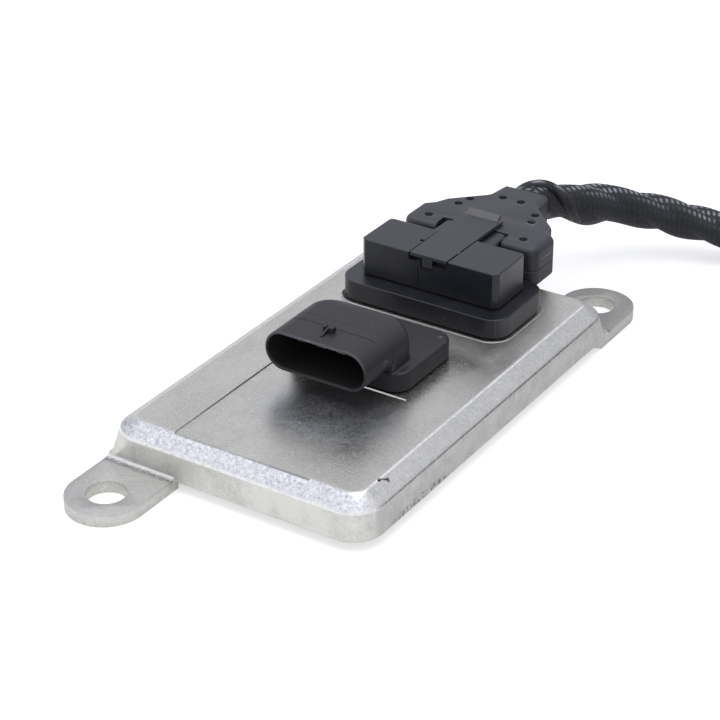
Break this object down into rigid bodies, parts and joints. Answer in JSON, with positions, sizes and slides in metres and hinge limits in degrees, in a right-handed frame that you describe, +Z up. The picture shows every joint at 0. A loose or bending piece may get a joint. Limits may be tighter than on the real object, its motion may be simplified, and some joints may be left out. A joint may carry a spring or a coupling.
{
  "type": "nitrogen oxide sensor",
  "caption": "Cast control unit with diagonal mounting ears, an oval vehicle socket and a locked sensor plug, with a woven lead to a threaded exhaust probe",
  "frame": {"origin": "under the middle of the case, on the plane of the mounting ears", "axes": "+Z up out of the mounting plane, -Y where the vehicle socket opens, +Y towards the lead's exit, +X across the case"},
  "size_m": [0.1932, 0.1844, 0.0264],
  "materials": {
    "cast_aluminium": "as-cast, lightly blasted",
    "sheet_aluminium": "plain sheet",
    "steel": "satin",
    "black_rubber": "matt",
    "charcoal_plastic": "matt moulded",
    "satin_plastic": "satin moulded",
    "board_laminate": "solder resist",
    "chip_epoxy": "matt",
    "ferrite": "matt",
    "capacitor_can": "plain",
    "tinned_brass": "tinned",
    "gold_plating": "plated",
    "copper_ring": "plain",
    "ceramic": "matt",
    "zirconia": "matt",
    "woven_sleeve": "woven sleeve"
  },
  "bodies": {
    "root": {"housing": "cast_aluminium", "base_cover": "sheet_aluminium", "cover_seal": "black_rubber", "header_seal": "black_rubber", "pedestal_seal": "black_rubber", "probe_boot": "black_rubber", "cover_screw_1": "steel", "cover_screw_2": "steel", "cover_screw_3": "steel", "cover_screw_4": "steel", "probe_sleeve": "steel", "probe_body": "steel", "outer_cap": "steel", "inner_cap": "steel", "circuit_board": "board_laminate", "controller_chip": "chip_epoxy", "driver_chip": "chip_epoxy", "power_coil": "ferrite", "buffer_capacitor_1": "capacitor_can", "buffer_capacitor_2": "capacitor_can", "vehicle_header": "charcoal_plastic", "locking_strip": "charcoal_plastic", "cover_top": "charcoal_plastic", "cover_bottom": "charcoal_plastic", "header_pin_1": "tinned_brass", "header_pin_2": "tinned_brass", "header_pin_3": "tinned_brass", "header_pin_4": "tinned_brass", "sensor_header": "satin_plastic", "plug_housing": "satin_plastic", "sensor_pin_1": "gold_plating", "sensor_pin_2": "gold_plating", "sensor_pin_3": "gold_plating", "sensor_pin_4": "gold_plating", "sensor_pin_5": "gold_plating", "sensor_pin_6": "gold_plating", "sensor_pin_7": "gold_plating", "sensor_pin_8": "gold_plating", "plug_contact_1": "gold_plating", "plug_contact_2": "gold_plating", "plug_contact_3": "gold_plating", "plug_contact_4": "gold_plating", "plug_contact_5": "gold_plating", "plug_contact_6": "gold_plating", "plug_contact_7": "gold_plating", "plug_contact_8": "gold_plating", "sensor_cable": "woven_sleeve", "cable_coil": "woven_sleeve", "cable_tail": "woven_sleeve", "sealing_ring": "copper_ring", "element_insulator": "ceramic", "sensing_element": "zirconia"}
  },
  "joints": []
}
